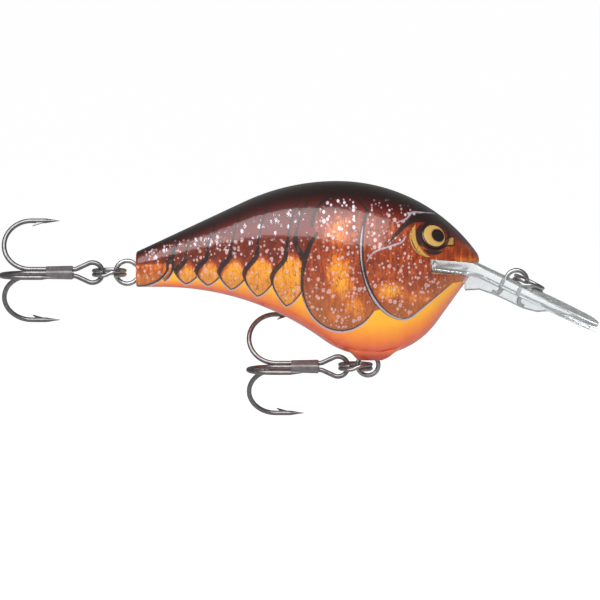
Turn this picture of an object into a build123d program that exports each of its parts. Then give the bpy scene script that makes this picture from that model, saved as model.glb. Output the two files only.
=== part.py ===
from build123d import *
import os
from math import cos, pi, radians, sin, sqrt, tan

# A fat-bodied, deep-diving crankbait: a balsa body glued up from two halves round a
# through-wire, a clear diving lip with the line tie moulded in, and two treble hooks on
# split rings.
#
# Frame, in millimetres: +X points to the nose and the lip, +Z is up and +Y is the lure's left.
# The origin is the centre of the line-tie eye. Everything but the split rings' wire and the
# trebles' third hooks is symmetric about the XZ plane.

# ---------------------------------------------------------------- driving dimensions
# Body. Seen from the side, the back is an arc either side of its crown, and the belly is a
# flat under the tail, a hollow arc, an arc round the keel and a straight chin. Seen from above,
# it is an arc behind its widest place and half an ellipse in front of it.
BODY_TAIL = -66.3
BODY_NOSE = -6.6
CROWN = (-31.3, 17.4)
CROWN_R = (38.0, 30.0)  # behind the crown, and in front of it
BACK_SLOPE = 25.0  # once the arc behind the crown is this steep, the back runs straight on
KEEL = (-25.3, -13.1)
KEEL_R = 14.0
CHIN_SLOPE = 54.5
UNDER_TAIL = -1.1
HOLLOW_R = 48.0
WIDEST = (-26.0, 10.0)  # X and half-width
PLAN_R = 90.0
PLAN_SLOPE = 16.2
NOSE_LENGTH = 20.0
SECTIONS = 17  # cut across the body and lofted, closer together towards its ends
EGG = 0.12  # how far each section is fuller above its middle than below
SECTION_POINTS = 16
NOSE_ROUND = 0.35
TAIL_ROUND = 0.30
BEYOND = 20.0  # for an extrusion that runs past everything it cuts or is cut by

# Lip: a tab glued in a sawn slot, and a plate bent down from it.
TAB_BACK = -14.9
TAB_TOP = 4.3  # height of the tab's upper face at its back end
TAB_SLOPE = -7.1
TAB_THICK = 2.2
PLATE_SLOPE = -25.5
PLATE_THICK = 1.65
PLATE_DROP = 0.30  # from the line-tie eye's centre down to the plate's upper face
UNDER_BEND = (-1.0, 1.5)  # where the underside's slopes end, from the bend of the upper face
# The lip's plan: how far along the plate's slope from the line-tie eye, and the half-width.
LIP_BACK = (-15.3, 5.8)
LIP_NECK = (-8.6, 4.5)
LIP_SWELL = [(-1.5, 5.4), (4.0, 7.7), (8.8, 8.9), (13.0, 7.6)]
LIP_TIP = 16.1
# The rib under the bend: X and Z of its lower edge behind the plate, then X along the plate.
RIB_HALF = 1.6
RIB_BEHIND = [(-9.0, -1.7), (-6.4, -1.55), (-3.4, -2.6)]
RIB_DEEP = 1.0
RIB_RISES = 3.6
RIB_FRONT = 6.4
RIB_DEPTH = 2.1
RIB_DEPTH_AT_RISE = 1.575
SLOT_GAP = 0.06
SLOT_END_GAP = 0.3

# Wires
HOOK_WIRE = 0.84
HANGER_WIRE = 0.80
RING_WIRE = 0.65
CHANNEL_GAP = 0.02

# Line tie, hangers and split rings
TIE_EYE_R = 1.81
TIE_LEG = 2.7
TIE_FOOT = 0.5
TAIL_LOOP = (-67.85, 1.45)
TAIL_LOOP_R = 2.0
BELLY_LOOP = (-25.87, -14.79)
BELLY_LOOP_R = 1.83
HANGER_GAP = 0.45  # half the distance between a hanger loop's two legs
HANGER_NECK = (1.0, 40.0)  # radius and angle of the bend where a leg meets its loop
WIRE_SHORT_END = -55.0
WIRE_BEND_R = 3.0
WIRE_TOP_END = -3.5
RING_R = 2.72
TAIL_RING = (-70.98, 1.40)
BELLY_RING = (-28.05, -15.05)
TIE_RING_R = 2.62
TIE_RING_BACK = -0.50  # the ring's near wire, along the lip from the eye's centre
TIE_RING_LIFT = 0.06
RING_STEP = 42.0  # degrees over which a split ring's wire climbs from one coil to the other
COIL_GAP = 0.02

# Treble hooks, measured along the shank from the centre of the eye
TAIL_TREBLE = (-73.90, 1.40)
BELLY_TREBLE = (-31.10, -15.05)
EYE_R = 1.75
EYE_NECK = (1.5, 25.0)
SHANK_HALF = 0.59  # the double hook's shanks, either side of the axis
SINGLE_OFFSET = 0.66
BEND_AT = -10.87
BEND_R = 4.69
POINT_TIP = -5.94
POINT_TAPER = 2.4
POINT_R = 0.04
BARB_ROOT = -8.5
BARB_TIP = -10.7
BARB_RISE = 0.60
BARB_HALF = 0.16
BARB_LENGTH = 0.9  # of the cut that leaves the barb, back along the point
BARB_DEPTH = 0.252  # where the barb leaves the wire, from the wire's centre line
SPREAD = 60.0  # angle of each of the double's hooks from the single hook's back
BRAZE = (-8.2, -3.4)
BRAZE_SKIN = 0.11
BRAZE_FLARE = 0.10

# Inside the body
BALLAST_R = 3.5
BALLAST = (-9.6, -1.0)  # its bottom and its top
BALLAST_CHAMFER = 0.5
BOSS_HALF = (1.7, 3.2)  # half-width at the flat bottom, and where it meets the belly
BOSS_FLAT = (-28.0, -23.5)
BOSS_ENDS = (-30.0, -19.8)
BOSS_BOTTOM = -13.87
BOSS_MEETS = -12.3
BOSS_TOP = -11.0
BOSS_EDGE = 0.3  # how much of each end is upright
BOSS_ROUND = 0.7
PLUG_OVERLAP = 0.5  # how far the plug's disc reaches down into the boss
RATTLE_AT = (-38.0, 8.0)
RATTLE_R = 2.6
RATTLE_BORE = 1.65
RATTLE_LENGTH = 13.4
RATTLE_WALL = 0.6
CAP_THICK = 0.8
CAP_ROUND = 0.3
BALL_R = 1.45
BALL_PITCH = 3.0
BALL_COUNT = 3
POCKET_GAP = 0.05

# Eyes
EYE_AT = (-14.65, 8.3)
EYE_DISC_R = 2.25
EYE_DEPTH = 0.7
EYE_PROUD = 0.32
EYE_ROUND = 0.304
SOCKET_MOUTH = 1.0  # how far above the eye's face the socket's cut begins


# ---------------------------------------------------------------- helpers
def trace(plane, start, heading, steps):
    """Draws a chain of straight runs, each a length, and tangent arcs, each a radius and a
    signed angle, in a plane."""
    at = Vector(*start)
    for step in steps:
        if isinstance(step, tuple):
            radius, angle = step
            side = 1 if angle > 0 else -1
            centre = at + Vector(0, side * radius).rotate(Axis.Z, heading)
            middle = centre + (at - centre).rotate(Axis.Z, angle / 2)
            end = centre + (at - centre).rotate(Axis.Z, angle)
            points = [plane.from_local_coords(p) for p in (at, middle, end)]
            ThreePointArc(*points)
            heading += angle
        else:
            end = at + Vector(step, 0).rotate(Axis.Z, heading)
            Line(plane.from_local_coords(at), plane.from_local_coords(end))
        at = end


def loop_steps(loop_r, half_gap, neck, turn):
    """The bends of a wire that opens from two parallel legs into a round loop, and how far
    the loop's centre lies beyond the start of the bends."""
    neck_r, angle = neck
    rise, run = sin(radians(angle)), cos(radians(angle))
    straight = (loop_r * run - half_gap - neck_r * (1 - run)) / rise
    reach = neck_r * rise + straight * run + loop_r * rise
    out = (neck_r, turn * angle)
    steps = [out, straight, (loop_r, -turn * (180 + 2 * angle)), straight, out]
    return steps, reach


def start_plane(path):
    """The plane square to a path at its start."""
    return Plane(origin=path @ 0, z_dir=path % 0)


def fall(run, radius, slope=90.0):
    """How far an arc that starts level has bent away after a run. Once it is as steep as the
    slope, in degrees, it goes straight on."""
    turn = radius * sin(radians(slope))
    if run <= turn:
        return radius - sqrt(radius**2 - run**2)
    return radius * (1 - cos(radians(slope))) + (run - turn) * tan(radians(slope))


def back_at(x):
    """Height of the back."""
    crown_x, crown_z = CROWN
    if x < crown_x:
        return crown_z - fall(crown_x - x, CROWN_R[0], BACK_SLOPE)
    return crown_z - fall(x - crown_x, CROWN_R[1])


def belly_at(x):
    """Height of the belly. The hollow and the keel's arc touch where they meet."""
    keel_x, keel_z = KEEL
    depth, radii = UNDER_TAIL - keel_z, KEEL_R + HOLLOW_R
    reach = sqrt(depth * (2 * radii - depth))
    if x > keel_x:
        return keel_z + fall(x - keel_x, KEEL_R, CHIN_SLOPE)
    if x > keel_x - reach * KEEL_R / radii:
        return keel_z + fall(keel_x - x, KEEL_R)
    return UNDER_TAIL - fall(max(0, x - keel_x + reach), HOLLOW_R)


def half_width_at(x):
    """Half the body's width."""
    wide_x, half_width = WIDEST
    if x < wide_x:
        return half_width - fall(wide_x - x, PLAN_R, PLAN_SLOPE)
    return half_width * sqrt(1 - ((x - wide_x) / NOSE_LENGTH) ** 2)


def section_at(x):
    """The points of one egg-shaped section of the body."""
    back, belly, half_width = back_at(x), belly_at(x), half_width_at(x)
    middle, half_height = (back + belly) / 2, (back - belly) / 2
    for i in range(SECTION_POINTS):
        angle = 2 * pi * i / SECTION_POINTS
        y = half_width * cos(angle) * (1 + EGG * sin(angle))
        yield (y, middle + half_height * sin(angle))


os.makedirs("parts", exist_ok=True)


def finish(builder, name):
    """Labels a finished piece and writes it."""
    builder.part.label = name
    export_step(builder.part, f"parts/{name}.step")


# The side view's plane, and the lip plate's: x down the lip, y square to it.
SIDE = Plane(origin=(0, 0, 0), x_dir=(1, 0, 0), z_dir=(0, -1, 0))
SLOPE_X, SLOPE_Z = cos(radians(PLATE_SLOPE)), sin(radians(PLATE_SLOPE))
LIP_PLANE = Plane(origin=(0, 0, 0), x_dir=(SLOPE_X, 0, SLOPE_Z), z_dir=(0, -1, 0))
LIP_PLAN = Plane(origin=(0, 0, 0), x_dir=(SLOPE_X, 0, SLOPE_Z), z_dir=(-SLOPE_Z, 0, SLOPE_X))


# ---------------------------------------------------------------- wires inside the body
def through_wire_path():
    """From the short end, round the tail loop, forward, down and round the belly loop."""
    tail_steps, tail_reach = loop_steps(TAIL_LOOP_R, HANGER_GAP, HANGER_NECK, -1)
    belly_steps, belly_reach = loop_steps(BELLY_LOOP_R, HANGER_GAP, HANGER_NECK, -1)
    neck_x = TAIL_LOOP[0] + tail_reach
    neck_z = BELLY_LOOP[1] + belly_reach
    leg_x = BELLY_LOOP[0] - HANGER_GAP
    run_z = TAIL_LOOP[1] - HANGER_GAP
    start = (WIRE_SHORT_END, TAIL_LOOP[1] + HANGER_GAP)
    steps = [WIRE_SHORT_END - neck_x, *tail_steps]
    steps += [leg_x - WIRE_BEND_R - neck_x, (WIRE_BEND_R, -90), run_z - WIRE_BEND_R - neck_z]
    steps += [*belly_steps, WIRE_TOP_END - neck_z]
    trace(SIDE, start, 180, steps)


with BuildPart() as through_wire:
    with BuildLine() as wire_line:
        through_wire_path()
    with BuildSketch(start_plane(wire_line.wires()[0])):
        Circle(HANGER_WIRE / 2)
    sweep(path=wire_line.wires()[0])
finish(through_wire, "through_wire")

with BuildPart() as wire_channel:
    with BuildLine() as channel_line:
        through_wire_path()
    with BuildSketch(start_plane(channel_line.wires()[0])):
        Circle(HANGER_WIRE / 2 + CHANNEL_GAP)
    sweep(path=channel_line.wires()[0])

# ---------------------------------------------------------------- balsa blank and its cores
with BuildPart() as blank:
    for i in range(SECTIONS):
        share = (1 - cos(pi * i / (SECTIONS - 1))) / 2
        x = BODY_TAIL + (BODY_NOSE - BODY_TAIL) * share
        with BuildSketch(Plane.YZ.offset(x)):
            with BuildLine():
                Spline(*section_at(x), periodic=True)
            make_face()
    loft()
    fillet(blank.edges().sort_by(Axis.X)[-1], NOSE_ROUND)
    fillet(blank.edges().sort_by(Axis.X)[0], TAIL_ROUND)


# The tab's upper face rises from TAB_TOP at TAB_BACK by this much for each millimetre of X.
TAB_RATE = tan(radians(TAB_SLOPE))


def tab_top_at(x):
    """Height of the tab's upper face."""
    return TAB_TOP + (x - TAB_BACK) * TAB_RATE


with BuildPart() as slot_core:
    with BuildSketch(SIDE):
        with BuildLine():
            Polyline(
                (TAB_BACK - SLOT_END_GAP, tab_top_at(TAB_BACK) + SLOT_GAP),
                (0, tab_top_at(0) + SLOT_GAP),
                (0, tab_top_at(0) - TAB_THICK - SLOT_GAP),
                (TAB_BACK - SLOT_END_GAP, tab_top_at(TAB_BACK) - TAB_THICK - SLOT_GAP),
                close=True,
            )
        make_face()
    extrude(amount=BEYOND, both=True)

rattle_x, rattle_z = RATTLE_AT
with BuildPart() as rattle_core:
    with BuildSketch(Plane.YZ.offset(rattle_x)):
        with Locations((0, rattle_z)):
            Circle(RATTLE_R + POCKET_GAP)
    extrude(amount=RATTLE_LENGTH / 2 + POCKET_GAP, both=True)

with BuildPart() as ballast_core:
    with BuildSketch(Plane.XY.offset(BOSS_BOTTOM)):
        with Locations((BELLY_LOOP[0], 0)):
            Circle(BALLAST_R + POCKET_GAP)
    extrude(amount=BALLAST[1] + POCKET_GAP - BOSS_BOTTOM)

# Each eye sits square on the flank, in a shallow round socket.
flank = [Vector(EYE_AT[0], side * BEYOND, EYE_AT[1]) for side in (-1, 1)]
eye_planes = {}
for name, outside in zip(("eye_right", "eye_left"), flank):
    inward = Axis(origin=outside, direction=(0, -outside.Y, 0))
    skin = blank.faces().sort_by(SortBy.AREA)[-1]
    hits = skin.find_intersection_points(inward)
    point, normal = min(hits, key=lambda hit: (hit[0] - outside).length)
    if normal.Y * outside.Y < 0:
        normal = normal * -1
    eye_planes[name] = Plane(origin=point + normal * EYE_PROUD, x_dir=(0, 0, 1), z_dir=normal)

eye_parts = {}
for name, plane in eye_planes.items():
    with BuildPart() as eye:
        with BuildSketch(plane):
            Circle(EYE_DISC_R)
        extrude(amount=-EYE_PROUD - EYE_DEPTH)
        fillet(eye.edges().sort_by(Axis(plane.origin, plane.z_dir))[-1], EYE_ROUND)
    eye_parts[name] = eye
    finish(eye, name)

with BuildPart() as eye_cores:
    for plane in eye_planes.values():
        with BuildSketch(plane.offset(SOCKET_MOUTH)):
            Circle(EYE_DISC_R + POCKET_GAP / 2)
        extrude(amount=-SOCKET_MOUTH - EYE_PROUD - EYE_DEPTH)

# ---------------------------------------------------------------- belly: ballast and plug
with BuildPart() as belly_ballast:
    with BuildSketch(Plane.XY.offset(BALLAST[0])):
        with Locations((BELLY_LOOP[0], 0)):
            Circle(BALLAST_R)
    extrude(amount=BALLAST[1] - BALLAST[0])
    chamfer(belly_ballast.edges().group_by(Axis.Z)[-1], BALLAST_CHAMFER)
    add(wire_channel.part, mode=Mode.SUBTRACT)
finish(belly_ballast, "belly_ballast")

# ---------------------------------------------------------------- body halves
halves = []
for name, keep in (("body_right", Keep.TOP), ("body_left", Keep.BOTTOM)):
    with BuildPart() as half:
        add(blank.part)
        split(bisect_by=Plane.XZ, keep=keep)
        for core in (slot_core, wire_channel, rattle_core, ballast_core, eye_cores):
            add(core.part, mode=Mode.SUBTRACT)
    finish(half, name)
    halves.append(half)

with BuildPart() as belly_plug:
    with BuildSketch(SIDE):
        with BuildLine():
            Polyline(
                (BOSS_ENDS[0], BOSS_TOP),
                (BOSS_ENDS[0] + BOSS_EDGE, BOSS_MEETS),
                (BOSS_FLAT[0], BOSS_BOTTOM),
                (BOSS_FLAT[1], BOSS_BOTTOM),
                (BOSS_ENDS[1], BOSS_MEETS + BOSS_EDGE),
                (BOSS_ENDS[1], BOSS_TOP),
                close=True,
            )
        make_face()
    extrude(amount=BEYOND, both=True)
    with BuildSketch(Plane.YZ.offset(BOSS_ENDS[0])):
        with BuildLine():
            Polyline(
                (BOSS_HALF[1], BOSS_TOP),
                (BOSS_HALF[1], BOSS_MEETS),
                (BOSS_HALF[0], BOSS_BOTTOM),
                (-BOSS_HALF[0], BOSS_BOTTOM),
                (-BOSS_HALF[1], BOSS_MEETS),
                (-BOSS_HALF[1], BOSS_TOP),
                close=True,
            )
        make_face()
    extrude(amount=BOSS_ENDS[1] - BOSS_ENDS[0], mode=Mode.INTERSECT)
    fillet(belly_plug.faces().sort_by(Axis.Z)[0].edges(), BOSS_ROUND)
    for half in halves:
        add(half.part, mode=Mode.SUBTRACT)
    with BuildSketch(Plane.XY.offset(BOSS_TOP - PLUG_OVERLAP)):
        with Locations((BELLY_LOOP[0], 0)):
            Circle(BALLAST_R)
    extrude(amount=BALLAST[0] - BOSS_TOP + PLUG_OVERLAP)
    add(wire_channel.part, mode=Mode.SUBTRACT)
finish(belly_plug, "belly_plug")

# ---------------------------------------------------------------- rattle
with BuildPart() as rattle_tube:
    with BuildSketch(Plane.YZ.offset(rattle_x - RATTLE_LENGTH / 2)):
        with Locations((0, rattle_z)):
            Circle(RATTLE_R)
    extrude(amount=RATTLE_LENGTH - CAP_THICK)
    with BuildSketch(Plane.YZ.offset(rattle_x - RATTLE_LENGTH / 2 + RATTLE_WALL)):
        with Locations((0, rattle_z)):
            Circle(RATTLE_BORE)
    extrude(amount=RATTLE_LENGTH, mode=Mode.SUBTRACT)
finish(rattle_tube, "rattle_tube")

with BuildPart() as rattle_cap:
    with BuildSketch(Plane.YZ.offset(rattle_x + RATTLE_LENGTH / 2 - CAP_THICK)):
        with Locations((0, rattle_z)):
            Circle(RATTLE_R)
    extrude(amount=CAP_THICK)
    fillet(rattle_cap.edges().group_by(Axis.X)[-1], CAP_ROUND)
finish(rattle_cap, "rattle_cap")

cavity_middle = rattle_x + (RATTLE_WALL - CAP_THICK) / 2
with BuildPart() as rattle_balls:
    for i in range(BALL_COUNT):
        ball_x = cavity_middle + (i - (BALL_COUNT - 1) / 2) * BALL_PITCH
        with Locations((ball_x, 0, rattle_z)):
            Sphere(BALL_R)
finish(rattle_balls, "rattle_balls")

# ---------------------------------------------------------------- diving lip and line tie
# The line tie: foot, leg, over the eye, leg and foot, drawn from the back foot's end.
tie_bend = (HANGER_WIRE, 90)
tie_steps = [TIE_FOOT, tie_bend, TIE_LEG, (TIE_EYE_R, -180), TIE_LEG, tie_bend, TIE_FOOT]
tie_start = (-TIE_EYE_R - HANGER_WIRE - TIE_FOOT, -TIE_LEG - HANGER_WIRE)
with BuildPart() as line_tie_wire:
    with BuildLine() as tie_line:
        trace(LIP_PLANE, tie_start, 0, tie_steps)
    with BuildSketch(start_plane(tie_line.wires()[0])):
        Circle(HANGER_WIRE / 2)
    sweep(path=tie_line.wires()[0])
finish(line_tie_wire, "line_tie_wire")

# The plate's upper face runs below the line-tie eye, and meets the tab's at the bend.
plate_zero = -PLATE_DROP / SLOPE_X
plate_rate = SLOPE_Z / SLOPE_X
bend_x = (plate_zero - TAB_TOP + TAB_BACK * TAB_RATE) / (TAB_RATE - plate_rate)
under_tab_end, under_plate_start = (bend_x + offset for offset in UNDER_BEND)


def plate_top_at(x):
    """Height of the plate's upper face."""
    return plate_zero + plate_rate * x


def plate_under_at(x):
    """Height of the plate's underside."""
    return plate_top_at(x) - PLATE_THICK / SLOPE_X


# The side profile runs past the tip, where the plan cuts it.
with BuildPart() as diving_lip:
    with BuildSketch(SIDE):
        with BuildLine():
            Polyline(
                (TAB_BACK, tab_top_at(TAB_BACK)),
                (bend_x, tab_top_at(bend_x)),
                (LIP_TIP, plate_top_at(LIP_TIP)),
                (LIP_TIP, plate_under_at(LIP_TIP)),
                (under_plate_start, plate_under_at(under_plate_start)),
                (under_tab_end, tab_top_at(under_tab_end) - TAB_THICK),
                (TAB_BACK, tab_top_at(TAB_BACK) - TAB_THICK),
                close=True,
            )
        make_face()
    extrude(amount=BEYOND, both=True)
    with BuildSketch(LIP_PLAN):
        with BuildLine():
            for side in (1, -1):
                back, neck, *swell = [(x, side * y) for x, y in (LIP_BACK, LIP_NECK, *LIP_SWELL)]
                Polyline((LIP_BACK[0], 0), back, neck)
                Spline(neck, *swell, (LIP_TIP, 0), tangents=[(1, 0), (0, -side)])
        make_face()
    extrude(amount=BEYOND, both=True, mode=Mode.INTERSECT)
    with BuildSketch(SIDE):
        with BuildLine():
            rib_back = RIB_BEHIND[0][0]
            Polyline(
                (rib_back, tab_top_at(rib_back) - TAB_THICK / 2),
                *RIB_BEHIND,
                (RIB_DEEP, plate_under_at(RIB_DEEP) - RIB_DEPTH),
                (RIB_RISES, plate_under_at(RIB_RISES) - RIB_DEPTH_AT_RISE),
                (RIB_FRONT, plate_under_at(RIB_FRONT)),
                (RIB_FRONT, (plate_top_at(RIB_FRONT) + plate_under_at(RIB_FRONT)) / 2),
                close=True,
            )
        make_face()
    extrude(amount=RIB_HALF, both=True)
    for half in halves:
        add(half.part, mode=Mode.SUBTRACT)
    add(line_tie_wire.part, mode=Mode.SUBTRACT)
finish(diving_lip, "diving_lip")


# ---------------------------------------------------------------- split rings
def split_ring(name, plane, radius):
    """Two coils of one wire lying flat on each other, on a plane. Across the plane's -x side
    the wire steps from the lower coil to the upper, and both of its ends are there too."""
    level = (RING_WIRE + COIL_GAP) / 2
    first, last = -pi + radians(RING_STEP / 2), pi - radians(RING_STEP / 2)

    def on_coil(angle, height):
        return plane.from_local_coords((radius * cos(angle), radius * sin(angle), height))

    def along_coil(angle):
        return on_coil(angle + pi / 2, 0) - plane.origin

    with BuildPart() as ring:
        with BuildLine() as coil:
            ThreePointArc(on_coil(first, -level), on_coil(0, -level), on_coil(last, -level))
            Spline(
                on_coil(last, -level),
                on_coil(pi, 0),
                on_coil(first, level),
                tangents=[along_coil(last), along_coil(first)],
            )
            ThreePointArc(on_coil(first, level), on_coil(0, level), on_coil(last, level))
        with BuildSketch(start_plane(coil.wires()[0])):
            Circle(RING_WIRE / 2)
        sweep(path=coil.wires()[0])
    finish(ring, name)


def flat_at(x, z, step_to):
    """A level plane at a point in the side view, with its x axis turned about Z."""
    x_dir = Vector(1, 0, 0).rotate(Axis.Z, step_to)
    return Plane(origin=(x, 0, z), x_dir=x_dir, z_dir=(0, 0, 1))


tie_ring_middle = LIP_PLANE.from_local_coords(
    (TIE_RING_BACK + TIE_RING_R, RING_WIRE + COIL_GAP / 2 + TIE_RING_LIFT - PLATE_DROP)
)
tie_ring_plane = Plane(origin=tie_ring_middle, x_dir=(0, 1, 0), z_dir=LIP_PLAN.z_dir)
split_ring("tail_split_ring", flat_at(*TAIL_RING, 90), RING_R)
split_ring("belly_split_ring", flat_at(*BELLY_RING, 90), RING_R)
split_ring("line_tie_ring", tie_ring_plane, TIE_RING_R)


# ---------------------------------------------------------------- treble hooks
taper_base = POINT_TIP - POINT_TAPER


def hook_point(plane):
    """One hook's tapered point and barb, in its own plane: x along the shank from the centre
    of the eye, y outward from the shank."""
    gape = 2 * BEND_R
    with BuildPart() as tip:
        for at, radius in ((taper_base, HOOK_WIRE / 2), (POINT_TIP, POINT_R)):
            origin = plane.from_local_coords((at, gape, 0))
            with BuildSketch(Plane(origin=origin, z_dir=(1, 0, 0))):
                Circle(radius)
        loft()
        with BuildSketch(plane):
            with BuildLine():
                Polyline(
                    (BARB_ROOT, gape - BARB_DEPTH),
                    (BARB_TIP, gape - HOOK_WIRE / 2 - BARB_RISE),
                    (BARB_TIP + BARB_LENGTH, gape - BARB_DEPTH),
                    close=True,
                )
            make_face()
        extrude(amount=BARB_HALF, both=True)
    return tip.part


def bend_steps():
    """From the base of the point's taper, round the bend and along the shank."""
    _, reach = loop_steps(EYE_R, SHANK_HALF, EYE_NECK, 1)
    return [taper_base - BEND_AT, (BEND_R, 180), -reach - BEND_AT]


def treble(prefix, at):
    """A double hook bent from one wire round its eye, a single hook laid against it, and the
    brazing that joins their shanks."""
    eye_x, eye_z = at
    eye_steps, reach = loop_steps(EYE_R, SHANK_HALF, EYE_NECK, 1)
    lean, climb = cos(radians(SPREAD)), sin(radians(SPREAD))
    shanks = {
        side: Plane(
            origin=(eye_x, 0, eye_z + side * SHANK_HALF),
            x_dir=(1, 0, 0),
            z_dir=Vector(1, 0, 0).cross(Vector(0, lean, side * climb)),
        )
        for side in (1, -1)
    }
    side_plane = Plane(origin=(eye_x, 0, eye_z), x_dir=(1, 0, 0), z_dir=(0, -1, 0))
    single_plane = Plane(
        origin=(eye_x, -SINGLE_OFFSET, eye_z),
        x_dir=(1, 0, 0),
        z_dir=Vector(1, 0, 0).cross(Vector(0, -1, 0)),
    )
    double_tips = [hook_point(plane) for plane in shanks.values()]
    single_tip = hook_point(single_plane)
    with BuildPart() as double_hook:
        with BuildLine() as wire:
            trace(shanks[1], (taper_base, 2 * BEND_R), 180, bend_steps())
            trace(side_plane, (-reach, SHANK_HALF), 0, eye_steps)
            back = [step if not isinstance(step, tuple) else (step[0], -step[1])
                    for step in reversed(bend_steps())]
            trace(shanks[-1], (-reach, 0), 180, back)
        path = wire.wires()[0]
        with BuildSketch(start_plane(path)):
            Circle(HOOK_WIRE / 2)
        sweep(path=path)
        add(double_tips)
    finish(double_hook, f"{prefix}_double_hook")

    with BuildPart() as single_hook:
        with BuildLine() as wire:
            trace(single_plane, (taper_base, 2 * BEND_R), 180, bend_steps())
        path = wire.wires()[0]
        with BuildSketch(start_plane(path)):
            Circle(HOOK_WIRE / 2)
        sweep(path=path)
        add(single_tip)
    finish(single_hook, f"{prefix}_single_hook")

    with BuildPart() as braze:
        for x, skin in zip(BRAZE, (BRAZE_SKIN, BRAZE_SKIN + BRAZE_FLARE)):
            with BuildSketch(Plane.YZ.offset(eye_x + x)):
                for y, z in ((0, SHANK_HALF), (0, -SHANK_HALF), (-SINGLE_OFFSET, 0)):
                    with Locations((y, eye_z + z)):
                        Circle(HOOK_WIRE / 2 + skin)
                make_hull()
        loft()
        add(double_hook.part, mode=Mode.SUBTRACT)
        add(single_hook.part, mode=Mode.SUBTRACT)
    finish(braze, f"{prefix}_hook_braze")


treble("tail", TAIL_TREBLE)
treble("belly", BELLY_TREBLE)
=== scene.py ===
from math import cos, pi, radians, sin, sqrt, tan

import bmesh
import bpy
import numpy as np
from mathutils import Matrix, Vector


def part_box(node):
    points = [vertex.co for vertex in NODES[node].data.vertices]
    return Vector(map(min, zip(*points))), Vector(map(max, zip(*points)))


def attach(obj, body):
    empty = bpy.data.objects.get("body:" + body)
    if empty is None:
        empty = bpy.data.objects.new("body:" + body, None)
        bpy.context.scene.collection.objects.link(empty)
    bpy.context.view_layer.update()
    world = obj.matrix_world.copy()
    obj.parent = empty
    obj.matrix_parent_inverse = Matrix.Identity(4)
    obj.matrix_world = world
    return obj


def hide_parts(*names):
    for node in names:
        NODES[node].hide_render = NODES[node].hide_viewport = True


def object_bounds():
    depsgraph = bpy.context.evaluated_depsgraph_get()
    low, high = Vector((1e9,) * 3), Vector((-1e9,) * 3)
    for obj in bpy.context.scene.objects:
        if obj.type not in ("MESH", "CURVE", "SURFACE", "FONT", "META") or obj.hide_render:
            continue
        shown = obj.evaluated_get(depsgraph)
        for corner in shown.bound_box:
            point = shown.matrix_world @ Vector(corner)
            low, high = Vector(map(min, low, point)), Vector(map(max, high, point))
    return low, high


# A crankbait painted as a crawfish: glossy lacquer on balsa, a clear lip, nickel rings and
# black-nickel trebles. Shapes are worked out in millimetres in the frame's own axes (+X to the
# nose, +Z up, +Y the lure's left) and made in metres.

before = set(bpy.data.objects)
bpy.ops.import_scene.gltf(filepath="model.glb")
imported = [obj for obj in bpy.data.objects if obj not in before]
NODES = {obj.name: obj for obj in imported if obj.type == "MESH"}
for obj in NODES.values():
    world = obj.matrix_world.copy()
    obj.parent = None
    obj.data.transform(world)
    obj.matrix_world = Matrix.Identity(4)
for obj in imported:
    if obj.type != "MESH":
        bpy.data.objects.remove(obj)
cad_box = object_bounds()

MM = 0.001


def box_mm(node):
    """A CAD node's lowest and highest corners, in millimetres."""
    return [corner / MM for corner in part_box(node)]


# ---------------- body: driving dimensions
# The same arcs and straight runs as the CAD body. Seen from the side, the back is an arc
# either side of its crown, and the belly is a flat under the tail, a hollow arc, an arc round
# the keel and a straight chin. Seen from above, it is an arc behind its widest place and half
# an ellipse in front of it.
BODY_TAIL = box_mm("body_right")[0].x
BODY_NOSE = box_mm("body_right")[1].x
CROWN = (-31.3, 17.4)
CROWN_R = (38.0, 30.0)
BACK_SLOPE = 25.0
KEEL = (-25.3, -13.1)
KEEL_R = 14.0
CHIN_SLOPE = 54.5
UNDER_TAIL = -1.1
HOLLOW_R = 48.0
WIDEST = (-26.0, 10.0)
PLAN_R = 90.0
PLAN_SLOPE = 16.2
NOSE_LENGTH = 20.0
EGG = 0.12  # how far each section is fuller above its middle than below
END_ROUND = 0.32
# The mesh
ROW_STEP = 0.16  # between the mesh's sections
FLANK_STEPS = 150  # across the patterned part of each flank
EDGE_STEPS = 22  # across the plain back, and across the plain belly
FLANK_SPAN = radians(62)  # the patterned part, above and below the section's middle
END_STEPS = 5

# ---------------- paint: driving dimensions
# The pattern lies on the flank as it is seen from the side and slightly above: x along the
# body, t the height in that view. Lengths are in millimetres, angles in degrees. An oval is a
# centre, the half-axes along x and t, and the angles where it starts and ends.
PRINT_TILT = radians(5.2)
WAIST = (2.9, 6.0, 5.0)  # where the back's colour ends: at the tail, on the flank, at the nose
WAIST_RUNS = (28, 14)  # how far from the tail it rises, and how far to the nose it falls
BAND_TOP = 1.5  # how far above the waist the shoulders' band reaches
FAN = ((BODY_TAIL + 0.3, 2.6), (5.3, 3.6))
LEAF_COUNT = 5
LEAVES_AT = BODY_TAIL + 7.0
LEAF_WIDTH = 3.6
LEAF_GROWTH = 1.1  # from each leaf to the next
LEAF_TOP = (3.8, 0.375)  # of the first leaf, and how much higher each next one is
LEAF_TIP = (-0.6, 0.24)  # of the first leaf; the second times the leaf's number squared is less
TIP_AT = 0.47  # where a leaf's tip is, as a share of its width
LEAF_FOOT = 0.27  # how far up its right side it meets the next leaf, as a share of its height
SEGMENT_LEAN = 1.15  # how far a segment's line leans to the nose, in leaf widths
LEAF_MIDDLE = 0.62  # where a leaf's bright part is highest, as a share of its width
LEAF_CREST = 0.2  # of the bright part, above the leaf's top
LEAF_ARCH = 9.0  # how steeply that top arches down to the leaf's sides
LEAF_FADE = 2.4  # how far down from its arch the bright part fades
SHOULDER_END = 1.6  # how far the shoulders' band goes on beyond the last leaf
SHIELD = ((-30.6, -0.6), (6.8, 8.1))
SHIELD_UPPER = 11.0  # the half-axis of its upper part
ARCH = ((-30.6, 9.4), (5.0, 5.6))
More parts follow.
